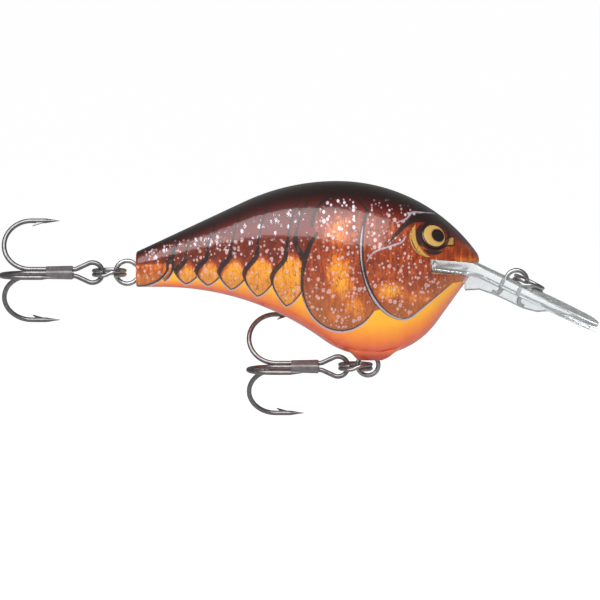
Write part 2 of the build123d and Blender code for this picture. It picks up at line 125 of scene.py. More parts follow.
COLLAR = ((-19.6, 5.5), (7.6, 12.2))
CHIN_BEND = 3.0
CHIN_RISE = 44.0
CHIN_RUN = 8.5
# How bright the plates are: the least, then each bright patch's strength, lean, centre and half-axes
SHIELD_GLOW = (0.22, [
    (0.85, 0.12, (-30.8, 0.5), (2.7, 5.0)),
    (0.62, 0.0, (-31.0, 8.5), (3.0, 4.0)),
    (0.7, 0.0, (-28.2, -4.6), (2.4, 2.4)),
    (0.45, 0.0, (-32.0, -6.2), (3.2, 2.0)),
])
HEAD_GLOW = (0.26, [
    (0.95, 0.0, (-22.3, -1.8), (2.6, 1.9)),
    (0.55, 0.0, (-18.0, -3.0), (4.5, 1.8)),
    (0.55, 0.0, (-8.4, 3.6), (4.2, 1.0)),
])
LEAF_GLOW = 0.82
FAN_GLOW = 0.5
FLECK_LINE = (3.9, 6.0)  # the flecks' height at the tail, and how much higher at the shield
FLECK_HALF = (0.8, 2.6)  # half the width of their band, likewise
BARE_EYE = (4.4, 5.2)  # no spots nearer to the eye than this
BARE_NOSE = (-13.5, -11.5)  # nor further forward than this
BARE_BACK = (0.66, 0.82)  # nor higher than this, as a share of the way from the waist to the back
# Painted highlight: between these heights on the shield and the head, the spots are painted whiter and
# filled, where the key light's reflection falls.
SPOT_HIGHLIGHT_SHIELD = (4.5, 9.0)  # the heights between which the spots turn white, a painted highlight where the key light's reflection falls
SPOT_HIGHLIGHT_HEAD = (3.5, 7.5)
GOLD_RING = (3.2, 4.4)  # round the eye
GOLD_TURN = (150, 262)
EYE_INK = 2.95

# ---------------- colours
def rgb(red, green, blue):
    """A display colour, 0 to 255, as the linear colour a shader takes."""
    shares = [value / 255 for value in (red, green, blue)]
    linear = [s / 12.92 if s <= 0.04045 else ((s + 0.055) / 1.055) ** 2.4 for s in shares]
    return (*linear, 1.0)


# ---------------- body outline
def fall(run, radius, slope=90.0):
    """How far an arc that starts level has bent away after a run. Once it is as steep as the
    slope, in degrees, it goes straight on."""
    turn = radius * sin(radians(slope))
    bent = radius - np.sqrt(radius ** 2 - np.clip(run, 0, turn) ** 2)
    return bent + np.maximum(run - turn, 0) * tan(radians(slope))


def back_at(x):
    """Height of the back."""
    crown_x, crown_z = CROWN
    behind = fall(crown_x - x, CROWN_R[0], BACK_SLOPE)
    ahead = fall(x - crown_x, CROWN_R[1])
    return crown_z - np.where(x < crown_x, behind, ahead)


def belly_at(x):
    """Height of the belly. The hollow and the keel's arc touch where they meet."""
    keel_x, keel_z = KEEL
    depth, radii = UNDER_TAIL - keel_z, KEEL_R + HOLLOW_R
    reach = sqrt(depth * (2 * radii - depth))
    hollow = UNDER_TAIL - fall(x - keel_x + reach, HOLLOW_R)
    behind = keel_z + fall(keel_x - x, KEEL_R)
    ahead = keel_z + fall(x - keel_x, KEEL_R, CHIN_SLOPE)
    return np.where(x > keel_x, ahead, np.where(x > keel_x - reach * KEEL_R / radii, behind, hollow))


def half_at(x):
    """Half the body's width."""
    wide_x, half = WIDEST
    behind = half - fall(wide_x - x, PLAN_R, PLAN_SLOPE)
    ahead = half * np.sqrt(np.maximum(1 - ((x - wide_x) / NOSE_LENGTH) ** 2, 0))
    return np.where(x < wide_x, behind, ahead)


# ---------------- curves
STROKE_REACH = 1.5  # how far from a stroke, or a region's border, its depth is worked out
REGION_REACH = 4.0


def oval(centre, radii, start, end, steps=40):
    """Part of an ellipse, from one angle to another."""
    angles = np.radians(np.linspace(start, end, steps))
    return np.column_stack([centre[0] + radii[0] * np.cos(angles), centre[1] + radii[1] * np.sin(angles)])


def chain(start, heading, *steps):
    """A line of straight runs, each a length, and tangent arcs, each a radius and an angle."""
    line = [np.array(start, float)]
    for step in steps:
        if isinstance(step, tuple):
            radius, angle = step
            side = 1 if angle > 0 else -1
            facing = radians(heading)
            centre = line[-1] + side * radius * np.array([-sin(facing), cos(facing)])
            first = heading - side * 90
            line += list(oval(centre, (radius, radius), first, first + angle, 12)[1:])
            heading += angle
        else:
            facing = radians(heading)
            line.append(line[-1] + step * np.array([cos(facing), sin(facing)]))
    return np.array(line)


def stroke_depth(points, line, widths, reach=STROKE_REACH):
    """How deep each point lies inside a stroke whose width changes evenly along a line; less
    than zero outside it, and -reach far from it."""
    depth = np.full(len(points), -reach)
    low, high = line.min(0) - reach, line.max(0) + reach
    near = np.nonzero(((points > low) & (points < high)).all(1))[0]
    places = points[near]
    best = np.full(len(near), -reach)
    lengths = np.concatenate([[0], np.cumsum(np.linalg.norm(np.diff(line, axis=0), axis=1))])
    half = np.interp(lengths / lengths[-1], np.linspace(0, 1, len(widths)), widths) / 2
    for i, (a, b) in enumerate(zip(line, line[1:])):
        run = b - a
        length = run @ run
        if length:
            share = np.clip((places - a) @ run / length, 0, 1)
            gap = np.linalg.norm(places - a - share[:, None] * run, axis=1)
            best = np.maximum(best, half[i] + share * (half[i + 1] - half[i]) - gap)
    depth[near] = best
    return depth


def region_depth(points, outline):
    """How deep each point lies inside a closed outline; less than zero outside it."""
    closed = np.vstack([outline, outline[:1]])
    inside = np.zeros(len(points), bool)
    for a, b in zip(closed, closed[1:]):
        if a[1] != b[1]:
            spans = (a[1] > points[:, 1]) != (b[1] > points[:, 1])
            crossing = a[0] + (points[:, 1] - a[1]) * (b[0] - a[0]) / (b[1] - a[1])
            inside ^= spans & (points[:, 0] < crossing)
    gap = -stroke_depth(points, closed, [0, 0], REGION_REACH)
    return np.where(inside, gap, -gap)


def ease(values, low, high):
    """0 below low, 1 above high and a smooth step between."""
    share = np.clip((values - low) / (high - low), 0, 1)
    return share * share * (3 - 2 * share)


def patch(x, t, centre, radii):
    """1 in the middle of a soft oval, fading to 0 outside it."""
    return np.exp(-((x - centre[0]) / radii[0]) ** 2 - ((t - centre[1]) / radii[1]) ** 2)


def patches(x, t, least, table):
    """The strongest of several soft ovals: each a strength, a lean, a centre and half-axes."""
    ovals = [strength * patch(x + lean * t, t, *place) for strength, lean, *place in table]
    return np.maximum.reduce([*ovals, np.full(len(x), least)])


# ---------------- the pattern's lines
def eye_frame(node):
    """An eye's centre and outward normal, its top and bottom along it, and its radius."""
    points = np.array([v.co for v in NODES[node].data.vertices]) / MM
    middle = points.mean(0)
    normal = np.linalg.svd(points - middle, full_matrices=False)[2][2]
    if normal[1] * middle[1] < 0:
        normal = -normal
    along = (points - middle) @ normal
    radius = np.linalg.norm(points - middle - np.outer(along, normal), axis=1).max()
    return Vector(middle), Vector(normal), float(along.max()), float(along.min()), float(radius)


EYE_MIDDLE, EYE_NORMAL, EYE_TOP, EYE_BOTTOM, EYE_RADIUS = eye_frame("eye_right")


def print_place(points):
    """Where each body point lies in the printed pattern."""
    height = points[:, 2] * cos(PRINT_TILT) - abs(points[:, 1]) * sin(PRINT_TILT)
    return np.column_stack([points[:, 0], height])


EYE_PRINT = print_place(np.array([EYE_MIDDLE + EYE_NORMAL * EYE_TOP]))[0]


def leaf_box(number):
    """A leaf's left side, its width, and the heights of its tip and top."""
    grown = (LEAF_GROWTH ** number - 1) / (LEAF_GROWTH - 1)
    left = LEAVES_AT + LEAF_WIDTH * grown
    tip = LEAF_TIP[0] - LEAF_TIP[1] * number ** 2
    top = LEAF_TOP[0] + LEAF_TOP[1] * number
    return left, LEAF_WIDTH * LEAF_GROWTH ** number, tip, top


def leaf_side(number, high=1.0, steps=24):
    """A leaf's left side, from a share of its height down to its tip."""
    left, width, tip, top = leaf_box(number)
    up = np.linspace(high, 0, steps)
    across = TIP_AT * (1 - np.sin(pi * up) ** 0.85)
    return np.column_stack([left + across * width, tip + up * (top - tip)])


def leaf_foot(number, steps=12):
    """A leaf's lower right side, from its tip up to the next leaf."""
    left, width, tip, top = leaf_box(number)
    up = np.linspace(0, LEAF_FOOT, steps)
    across = TIP_AT + (1 - TIP_AT) * (up / LEAF_FOOT) ** 0.62
    return np.column_stack([left + across * width, tip + up * (top - tip)])


def leaf_region(number):
    """A leaf's whole outline; its right side lies under the next leaf."""
    left, width, tip, top = leaf_box(number)
    right = [(left + 1.05 * width, tip + share * (top - tip)) for share in (0.5, 0.8)]
    crest = [(left + 0.95 * width, top + 0.2)]
    return np.vstack([leaf_side(number), leaf_foot(number), right, crest])


def leaf_glow(place, number):
    """A leaf's bright part: its whole width at the bottom, ending above in an arch."""
    left, width, _, top = leaf_box(number)
    across = (place[:, 0] - left) / width - LEAF_MIDDLE
    crest = top + LEAF_CREST - LEAF_ARCH * across ** 2
    inside = ease(region_depth(place, leaf_region(number)), 0.0, 0.3)
    return inside * (1 - ease(place[:, 1], crest - LEAF_FADE, crest))


def shoulders():
    """The band between the leaves' shoulders and the waist."""
    line = []
    for number in range(LEAF_COUNT + 1):
        left, _, tip, top = leaf_box(number)
        line.append((left, (tip + top) / 2))
    end, top = line[-1][0] + SHOULDER_END, WAIST[1] + BAND_TOP
    tail = FAN[0][0]
    return np.array([*line, (end, line[-1][1] - 0.6), (end, top), (tail, top), (tail, WAIST[0] - 0.6)])


def segment_line(foot, knee, lean):
    """The line between two segments of the back, from its foot to the edge of the back."""
    up = np.linspace(0, 1, 30)
    edge = float(back_at(foot[0] + lean)) * cos(PRINT_TILT) - 0.35
    across = knee * ease(up, 0, 0.24) + (lean - knee) * up ** 2.6
    return np.column_stack([foot[0] + across, foot[1] + up * (edge - foot[1])])


def segment_lines():
    """One line for each leaf, one in front of the fan and one behind the shield."""
    fan_front = FAN[0][0] + FAN[1][0]
    lines = [segment_line((fan_front + 0.3, 3.2), 0.6, 3.6)]
    for number in range(LEAF_COUNT):
        left, width, tip, top = leaf_box(number)
        lines.append(segment_line((left, (tip + top) / 2), 0.45 * width, SEGMENT_LEAN * width))
    end, _, _, top = leaf_box(LEAF_COUNT)
    lines.append(segment_line((end - 0.1, top - 1.9), -1.2, 3.3))
    return lines


SHIELD_SIDE = np.vstack([
    oval(SHIELD[0], (SHIELD[1][0], SHIELD_UPPER), 128, 180),
    oval(*SHIELD, 180, 324)[1:],
])
ARCH_LINE = oval(*ARCH, 180, 22)
COLLAR_LINE = oval(*COLLAR, 147, 266)
CHIN_LINE = chain(COLLAR_LINE[-1], -4, (CHIN_BEND, CHIN_RISE), CHIN_RUN)
FAN_EDGE = oval(*FAN, 12, -88)
FAN_STEP = oval(FAN[0], (FAN[1][0] + 1.0, FAN[1][1] + 0.5), 24, -42)
GILL = chain(EYE_PRINT + (-5.1, -0.2), 256, (1.7, -58), 3.6, (3.2, 46), 0.6)
BROW = chain(EYE_PRINT + (-8.4, -1.8), 48, 4.6, (4.4, -50), 2.2, (3.0, -22))
BROW_EDGE = chain(EYE_PRINT + (-6.6, 2.2), 20, 1.3, (2.0, 40), (1.1, -62), 2.6, (3.0, -20))
EYE_CORNER = EYE_PRINT + np.array([(1.6, -0.9), (3.1, -0.15), (3.5, -0.3), (3.4, -1.7), (1.3, -1.7)])


# ---------------- the pattern as fields
def waist_at(x):
    """Height of the border between the back's colour and the plates."""
    tail, flank, nose = WAIST
    rise = ease(x, BODY_TAIL, BODY_TAIL + WAIST_RUNS[0])
    return tail + (flank - tail) * rise - (flank - nose) * ease(x, BODY_NOSE - WAIST_RUNS[1], BODY_NOSE)


def lined(place, strokes):
    """The deepest of several strokes at each point; each is a line and its widths."""
    return np.maximum.reduce([stroke_depth(place, line, widths) for line, *widths in strokes])


def ink_strokes():
    numbers = range(LEAF_COUNT)
    turned_eye = [oval(EYE_PRINT, (r, r), a, b) for r, a, b in
                  ((EYE_INK, 138, 222), (EYE_INK + 0.1, 232, 300), (GOLD_RING[1] - 0.35, 165, 250))]
    return [
        *((line, 0.8, 0.85, 0.42, 0.34, 0.28, 0.12) for line in segment_lines()),
        *((leaf_side(n, 0.54), 0.7, 0.4, 0.28, 0.24, 0.22) for n in numbers),
        *((leaf_foot(n), 0.22, 0.2, 0.24) for n in numbers),
        (FAN_EDGE, 0.55, 0.42, 0.36, 0.34),
        (FAN_STEP, 0.5, 0.42, 0.3, 0.12),
        (SHIELD_SIDE, 0.5, 0.95, 0.6, 0.4, 0.34, 0.34, 0.3, 0.2),
        (ARCH_LINE, 0.6, 0.5, 0.42, 0.3),
        (COLLAR_LINE, 0.3, 0.7, 0.85, 0.85, 0.9, 0.7, 0.4),
        (CHIN_LINE, 0.34, 0.3, 0.26, 0.12),
        (BROW, 0.12, 0.5, 0.8, 1.0, 1.5, 1.4, 0.5),
        (turned_eye[0], 0.2, 0.75, 0.7, 0.2),
        (turned_eye[1], 0.15, 0.7, 0.6, 0.1),
        (turned_eye[2], 0.1, 0.25, 0.1),
        (oval(EYE_PRINT, (EYE_RADIUS + 0.2, EYE_RADIUS + 0.2), 0, 360), 0.5, 0.5),
        (EYE_CORNER, 0.3, 0.3),
    ]


def shine_strokes():
    numbers = range(LEAF_COUNT)
    return [
        *((leaf_side(n, 0.4) + (-0.08, -0.16), 0.1, 0.24, 0.26) for n in numbers),
        *((leaf_foot(n) + (0.05, -0.17), 0.24, 0.24, 0.12) for n in numbers),
        (FAN_EDGE[12:] + (0.1, -0.18), 0.1, 0.3, 0.22),
        (FAN_STEP[20:] + (0.1, -0.2), 0.1, 0.24, 0.2),
        (SHIELD_SIDE[42:] + (-0.05, -0.24), 0.1, 0.28, 0.34, 0.36, 0.3, 0.1),
        (COLLAR_LINE[5:] + (-0.08, 0), 0.2, 0.36, 0.3, 0.16, 0.28, 0.42, 0.36, 0.34),
        (CHIN_LINE[:14] + (0, -0.12), 0.34, 0.3, 0.05),
        (GILL, 0.26, 0.34, 0.34, 0.34, 0.12),
        (BROW_EDGE, 0.2, 0.34, 0.36, 0.3, 0.1),
    ]


def paint_fields(points):
    """The painted pattern at each body point, and the painted highlight on its spots, as named columns in
    millimetres or shares.
    """
    place = print_place(points)
    x, t = place.T
    back, belly, waist = back_at(x), belly_at(x), waist_at(x)
    behind_tail = [(BODY_TAIL - 4, UNDER_TAIL), (BODY_TAIL - 4, 2.9)]
    fan = np.maximum(
        region_depth(place, np.vstack([FAN_EDGE, behind_tail])),
        region_depth(place, np.vstack([FAN_STEP, [(FAN[0][0] + 3, 2.0)]])),
    )
    leaves = np.maximum.reduce([region_depth(place, leaf_region(n)) for n in range(LEAF_COUNT)])
    shoulder = region_depth(place, shoulders())
    shield = region_depth(place, np.vstack([SHIELD_SIDE, COLLAR_LINE[:31][::-1], ARCH_LINE[::-1]]))
    beyond_nose = [(0, 1.5), (0, 30), (COLLAR_LINE[0][0], 30)]
    head = region_depth(place, np.vstack([COLLAR_LINE, CHIN_LINE, beyond_nose]))
    plated = np.maximum.reduce([leaves, fan, shoulder, shield, head])
    ink, shine = lined(place, ink_strokes()), lined(place, shine_strokes())

    from_eye = np.hypot(*(place - EYE_PRINT).T)
    turn = np.degrees(np.arctan2(t - EYE_PRINT[1], x - EYE_PRINT[0])) % 360
    fade = np.interp(turn, [GOLD_TURN[0], GOLD_TURN[0] + 30, 225, GOLD_TURN[1]], [0.1, 1, 0.8, 0.0])
    gold_half = (GOLD_RING[1] - GOLD_RING[0]) / 2
    crescent = gold_half * fade - abs(from_eye - sum(GOLD_RING) / 2)
    crescent[(turn < GOLD_TURN[0]) | (turn > GOLD_TURN[1])] = -1
    gold = np.maximum(crescent, region_depth(place, EYE_CORNER))

    on_shield = (shield > 0) * patches(x, t, *SHIELD_GLOW)
    on_head = (head > 0) * patches(x, t, *HEAD_GLOW)
    on_leaves = LEAF_GLOW * np.maximum.reduce([leaf_glow(place, n) for n in range(LEAF_COUNT)])
    glow = np.maximum.reduce([on_leaves, FAN_GLOW * ease(fan, 0.1, 0.6), on_shield, on_head])

    dusk = (t - waist) / np.maximum(back - waist, 0.5)
    sunny = (waist - t) / np.maximum(waist - belly, 0.5)
    along = (x - BODY_TAIL) / (SHIELD[0][0] - SHIELD[1][0] - BODY_TAIL)
    fleck_line, fleck_half = [near + more * along for near, more in (FLECK_LINE, FLECK_HALF)]
    fleck_band = 1.2 - abs(t - fleck_line) / fleck_half
    flecks = np.clip(fleck_band, 0, 1) * (along > 0) * (along < 1.03)
    spots = ease(plated, 0.25, 0.7) * (1 - ease(dusk, *BARE_BACK)) * ease(from_eye, *BARE_EYE)
    spots *= 1 - ease(x, *BARE_NOSE)
    # Painted highlight: how far the spots are whitened, by height, on the shield and the head.
    spot_highlight = ease(t, *SPOT_HIGHLIGHT_SHIELD) * ease(shield, 0, 1) + 0.55 * ease(t, *SPOT_HIGHLIGHT_HEAD) * (head > 0)
    return {
        "decal": np.column_stack([x, t, np.zeros(len(x))]),
        "tone": np.column_stack([sunny, dusk, np.clip(glow, 0, 1)]),
        "marks": np.column_stack([plated, ink, shine]),
        "trim": np.column_stack([gold, spots, flecks]),
        "painted_highlight": np.column_stack([np.clip(spot_highlight, 0, 1), np.zeros((len(x), 2))]),
    }


# ---------------- mesh helpers
WELD = 1e-7  # in metres


def new_object(name, data):
    """A new object in the scene."""
    made = bpy.data.objects.new(name, data)
    bpy.context.scene.collection.objects.link(made)
    return made


def face_out(thing, weld=False):
    """Turns a mesh's faces outwards, and joins the points that coincide if it is asked to."""
    b = bmesh.new()
    b.from_mesh(thing.data)
    if weld:
        bmesh.ops.remove_doubles(b, verts=b.verts, dist=WELD)
    bmesh.ops.recalc_face_normals(b, faces=b.faces)
    b.to_mesh(thing.data)
    b.free()
    thing.data.update()
    return thing


def mesh_object(name, vertices, faces):
    """A new object from points in millimetres."""
    mesh = bpy.data.meshes.new(name)
    mesh.from_pydata((np.asarray(vertices) * MM).tolist(), [], faces)
    mesh.validate()
    return face_out(new_object(name, mesh))


def copy_of_node(name, node):
    """A welded copy of a CAD node's mesh, free to be changed."""
    made = new_object(name, NODES[node].data.copy())
    made.data.materials.clear()
    return face_out(made, weld=True)


def coat(thing, material):
    """Makes a material the only one of a piece."""
    thing.data.materials.clear()
    thing.data.materials.append(material)


def applied(thing):
    """Makes an object's modifiers part of its mesh."""
    bpy.context.view_layer.update()
    evaluated = thing.evaluated_get(bpy.context.evaluated_depsgraph_get())
    finished = bpy.data.meshes.new_from_object(evaluated)
    thing.modifiers.clear()
    thing.data = finished
    return thing


def cut(thing, cutters):
    """Cuts each cutter out of an object, and deletes the cutters."""
    for cutter in cutters:
        boolean = thing.modifiers.new("cut", "BOOLEAN")
        boolean.operation = "DIFFERENCE"
        boolean.solver = "MANIFOLD"
        boolean.object = cutter
        applied(thing)
        bpy.data.objects.remove(cutter)
    return thing


def soft_shading(thing, sharp_over):
    """Smooth shading, apart from edges that turn more than this, in degrees."""
    thing.data.shade_smooth()
    thing.data.set_sharp_from_angle(angle=radians(sharp_over))


def turned(name, origin, axis, profile, steps):
    """A closed solid turned about an axis from (radius, distance along the axis) points, the
    first and last of them on the axis."""
    origin, axis = Vector(origin), Vector(axis).normalized()
    across = axis.orthogonal().normalized()
    up = axis.cross(across)
    around = [cos(a) * across + sin(a) * up for a in (2 * pi * i / steps for i in range(steps))]
    rings = profile[1:-1]
    points = [origin + profile[0][1] * axis]
    for radius, along in rings:
        points += [origin + along * axis + radius * way for way in around]
    points.append(origin + profile[-1][1] * axis)
    last = len(points) - 1
    end = last - steps
    faces = []
    for j in range(steps):
        k = (j + 1) % steps
        faces.append((0, 1 + k, 1 + j))
        for a in range(1, end, steps):
            faces.append((a + j, a + k, a + steps + k, a + steps + j))
        faces.append((end + j, end + k, last))
    return mesh_object(name, points, faces)


def drum(name, origin, axis, radius, start, end, steps=64):
    """A closed cylinder, from one distance along its axis to another."""
    return turned(name, origin, axis, [(0, start), (radius, start), (radius, end), (0, end)], steps)


# ---------------- body mesh
def body_rows():
    """X of each section, and how far it is drawn in at the body's rounded ends."""
    first, last = BODY_TAIL, BODY_NOSE
    turns = [radians(90) * i / END_STEPS for i in range(END_STEPS)]
    rows = [(first + END_ROUND * (1 - cos(a)), END_ROUND * (1 - sin(a))) for a in turns]
    inner = np.arange(first + END_ROUND, last - END_ROUND, ROW_STEP)
    rows += [(x, 0.0) for x in inner]
    rows += [(last - x + first, inset) for x, inset in rows[:END_STEPS][::-1]]
    return rows


def body_angles():
    """Angles round half a section, from the belly to the back, finest on the flank."""
    low = np.linspace(-pi / 2, -FLANK_SPAN, EDGE_STEPS, endpoint=False)
    flank = np.linspace(-FLANK_SPAN, FLANK_SPAN, FLANK_STEPS, endpoint=False)
    high = np.linspace(FLANK_SPAN, pi / 2, EDGE_STEPS + 1)
    return np.concatenate([low, flank, high])


def body_half_blank(name):
    """The right half of the body before anything is cut from it, closed at its flat side."""
    angles = body_angles()
    points = []
    for x, inset in body_rows():
        back, belly, half = back_at(x) - inset, belly_at(x) + inset, half_at(x) - inset
        middle, half_height = (back + belly) / 2, (back - belly) / 2
        y = -half * np.cos(angles) * (1 + EGG * np.sin(angles))
        z = middle + half_height * np.sin(angles)
        y[0] = y[-1] = 0.0
        points.append(np.column_stack([np.full(len(angles), x), y, z]))
    count, width = len(points), len(angles)
    faces = []
    for i in range(count - 1):
        for j in range(width - 1):
            a = i * width + j
            faces.append((a, a + 1, a + 1 + width, a + width))
        faces.append((i * width, (i + 1) * width, (i + 2) * width - 1, (i + 1) * width - 1))
    faces.append(tuple(range(width)))
    faces.append(tuple((count - 1) * width + j for j in range(width))[::-1])
    return mesh_object(name, np.vstack(points), faces)


TAB_SLOPE = -7.1  # degrees, of the lip's tab in its slot
SLOT_GAP = 0.06
POCKET_GAP = 0.05
TAB_THICK = 2.2
SLOT_END_GAP = 0.3
SLOT_FRONT = 2.0  # a place ahead of the nose
THROUGH = 15.0  # beyond the body's sides
BALLAST_HOLE = 8.0  # how far the ballast's hole runs on, out through the belly
WIRE_GAP = 0.02
SOCKET_GAP = 0.03
SOCKET_REACH = 3.0


def slot_edges():
    """The slot's back end and its lower and upper edges at two places along it."""
    low, high = box_mm("diving_lip")
    back_x = low.x - SLOT_END_GAP
    lean = tan(radians(TAB_SLOPE))
    upper = [(x, high.z + (x - low.x) * lean + SLOT_GAP) for x in (back_x, SLOT_FRONT)]
    lower = [(x, z - TAB_THICK - 2 * SLOT_GAP) for x, z in upper]
    return upper, lower


def block(name, corners):
    """A closed block from four corners at one end and the same four at the other."""
    faces = [(0, 1, 2, 3), (7, 6, 5, 4), *((i, i + 4, (i + 1) % 4 + 4, (i + 1) % 4) for i in range(4))]
    return mesh_object(name, corners, faces)


def slot_cutter():
    upper, lower = slot_edges()
    return block("slot", [(x, y, z) for y in (-THROUGH, THROUGH) for x, z in (*upper, *lower[::-1])])


def ballast_cutter():
    """The ballast's round hole, which runs on out through the belly."""
    low, high = box_mm("belly_ballast")
    middle = (low + high) / 2
    half_length = (high.z - low.z) / 2 + POCKET_GAP
    radius = (high.x - low.x) / 2 + POCKET_GAP
    return drum("ballast_hole", middle, (0, 0, 1), radius, -half_length - BALLAST_HOLE, half_length)


def rattle_cutter():
    """The pocket for the whole rattle, tube and cap."""
    tube_low, _ = box_mm("rattle_tube")
    cap_low, cap_high = box_mm("rattle_cap")
    middle = (cap_low + cap_high) / 2
    radius = (cap_high.z - cap_low.z) / 2 + POCKET_GAP
    start, end = tube_low.x - POCKET_GAP, cap_high.x + POCKET_GAP
    return drum("rattle_pocket", (start, 0, middle.z), (1, 0, 0), radius, 0, end - start)


def wire_cutter():
    """The through-wire a little thicker, as its groove."""
    groove = copy_of_node("groove", "through_wire")
    thicker = groove.modifiers.new("thicker", "DISPLACE")
    thicker.strength = WIRE_GAP * MM
    thicker.mid_level = 0.0
    return applied(groove)


def socket_cutter():
    """The eye's round socket."""
    radius = EYE_RADIUS + SOCKET_GAP
    return drum("socket", EYE_MIDDLE, EYE_NORMAL, radius, EYE_BOTTOM, SOCKET_REACH, 96)


def store(thing, name, values):
    """Writes one vector for each of a mesh's points, for the shader to read."""
    layer = thing.data.attributes.new(name, "FLOAT_VECTOR", "POINT")
    layer.data.foreach_set("vector", np.ascontiguousarray(values, np.float32).ravel())


def points_of(thing):
    places = np.zeros(len(thing.data.vertices) * 3, np.float32)
    thing.data.vertices.foreach_get("co", places)
    return places.reshape(-1, 3).astype(float) / MM


def raw_wood(points):
    """How far each point lies outside the lip's slot, and how deep under the painted skin."""
    x, y, z = points.T
    (start, high), _ = slot_edges()[0]
    top = high + (x - start) * tan(radians(TAB_SLOPE))
    bottom = top - TAB_THICK - 2 * SLOT_GAP
    outside = np.maximum.reduce([z - top, bottom - z, start - x])
    middle, height = (back_at(x) + belly_at(x)) / 2, (back_at(x) - belly_at(x)) / 2
    lean = np.clip((z - middle) / height, -1, 1)
    reach = half_at(x) * np.sqrt(1 - lean ** 2) * (1 + EGG * lean)
    return np.column_stack([outside, reach - abs(y), np.zeros(len(points))])


def painted_body():
    right = body_half_blank("body_right_painted")
    cut(right, [slot_cutter(), socket_cutter(), rattle_cutter(), ballast_cutter(), wire_cutter()])
    points = points_of(right)
    fields = paint_fields(points)
    fields["wood"] = raw_wood(points)
    for name, values in fields.items():
        store(right, name, values)
    soft_shading(right, 30)
    left = new_object("body_left_painted", right.data.copy())
    left.data.transform(Matrix.Scale(-1, 4, (0, 1, 0)))
    left.data.flip_normals()
    soft_shading(left, 30)
    return right, left


# ---------------- eyes
DOME_STEPS = 14
DOME_RISE = 0.26
DOME_FULLNESS = 0.9
RIM_BEVEL = 0.05


def painted_eye(name, node):
    """A domed eye whose points know their place on the iris."""
    middle, normal, top, bottom, _ = eye_frame(node)
    foot = top - DOME_RISE
    rim = [(EYE_RADIUS - RIM_BEVEL, bottom), (EYE_RADIUS, bottom + RIM_BEVEL), (EYE_RADIUS, foot)]
    profile = [(0, bottom), *rim]
    for i in range(1, DOME_STEPS):
        turn = i / DOME_STEPS * pi / 2
        profile.append((EYE_RADIUS * cos(turn), foot + DOME_RISE * sin(turn) ** DOME_FULLNESS))
    profile.append((0, top))
    eye = turned(name, middle, normal, profile, 128)
    up = (Vector((0, 0, 1)) - normal * normal.z).normalized()
    forward = (Vector((1, 0, 0)) - normal * normal.x)
    forward = (forward - up * forward.dot(up)).normalized()
    axes = np.array([forward, up, normal])
    store(eye, "iris", (points_of(eye) - np.array(middle)) @ axes.T)
    soft_shading(eye, 40)
    return eye


# ---------------- lip, boss and brazings
VOXEL = 0.13
SOFTENING = 8
BOSS_SOFTENING = 14
BRAZE_VOXEL = 0.07
BRAZE_SOFTENING = 24
BOSS_FLOW = 2.8  # how long its front and back slopes are
BOSS_SUNK = 0.05


def softened(thing, voxel, iterations):
    """Makes an object one closed skin and rounds off its edges."""
    remesh = thing.modifiers.new("remesh", "REMESH")
    remesh.mode = "VOXEL"
    remesh.voxel_size = voxel * MM
    soften = thing.modifiers.new("soften", "SMOOTH")
    soften.factor = 0.5
    soften.iterations = iterations
    applied(thing)
    thing.data.shade_smooth()
    return thing


def clear_lip():
    """The moulded lip: the CAD lip with its edges rounded, solid round the wire's legs."""
    lip = copy_of_node("diving_lip_clear", "diving_lip")
    filler = filler_block()
    with bpy.context.temp_override(active_object=lip, selected_editable_objects=[lip, filler]):
        bpy.ops.object.join()
    return softened(lip, VOXEL, SOFTENING)


def flow_into_belly(boss):
    """Draws the boss's front and back ends up to the belly, so that they leave no step."""
    points = points_of(boss)
    x, y, z = points.T
    share = np.clip(abs(y) / (half_at(x) * (1 - EGG)), 0, 1)
    half_height = (back_at(x) - belly_at(x)) / 2
    belly = belly_at(x) + half_height * (1 - np.sqrt(1 - share ** 2))
    ends = ease(x, x.min(), x.min() + BOSS_FLOW) * (1 - ease(x, x.max() - BOSS_FLOW, x.max()))
    proud = belly - z
    points[:, 2] = belly - np.where(proud > 0, proud * ends - BOSS_SUNK * (1 - ends), proud)
    boss.data.vertices.foreach_set("co", (points * MM).astype(np.float32).ravel())
    boss.data.update()


def smooth_boss():
    """The plug's boss with its edges flowed into the belly by the paint."""
    boss = softened(copy_of_node("belly_boss_painted", "belly_plug"), VOXEL, BOSS_SOFTENING)
    flow_into_belly(boss)
    boss.data.shade_smooth()
    return boss


PLATE_SLOPE = radians(-25.5)
FILLER_HALF = 0.75
# The block's corners, along the plate and up from it
FILLER = ((-3.75, -3.95), (3.75, -3.75), (3.4, -0.42), (-3.4, -0.42))


def filler_block():
    """A block inside the plate and rib that closes the channel of the wire's legs."""
    along = Vector((cos(PLATE_SLOPE), 0, sin(PLATE_SLOPE)))
    up = Vector((-sin(PLATE_SLOPE), 0, cos(PLATE_SLOPE)))
    sides = (-FILLER_HALF, FILLER_HALF)
    return block("filler", [along * a + up * u + Vector((0, y, 0)) for y in sides for a, u in FILLER])


# ---------------- shaders
def fill_ramp(ramp, stops):
    """Gives a colour ramp its stops, each a place and a colour."""
    band = ramp.color_ramp
    while len(band.elements) < len(stops):
        band.elements.new(0.5)
    for element, (place, colour) in zip(band.elements, stops):
        element.position = place
        element.color = colour


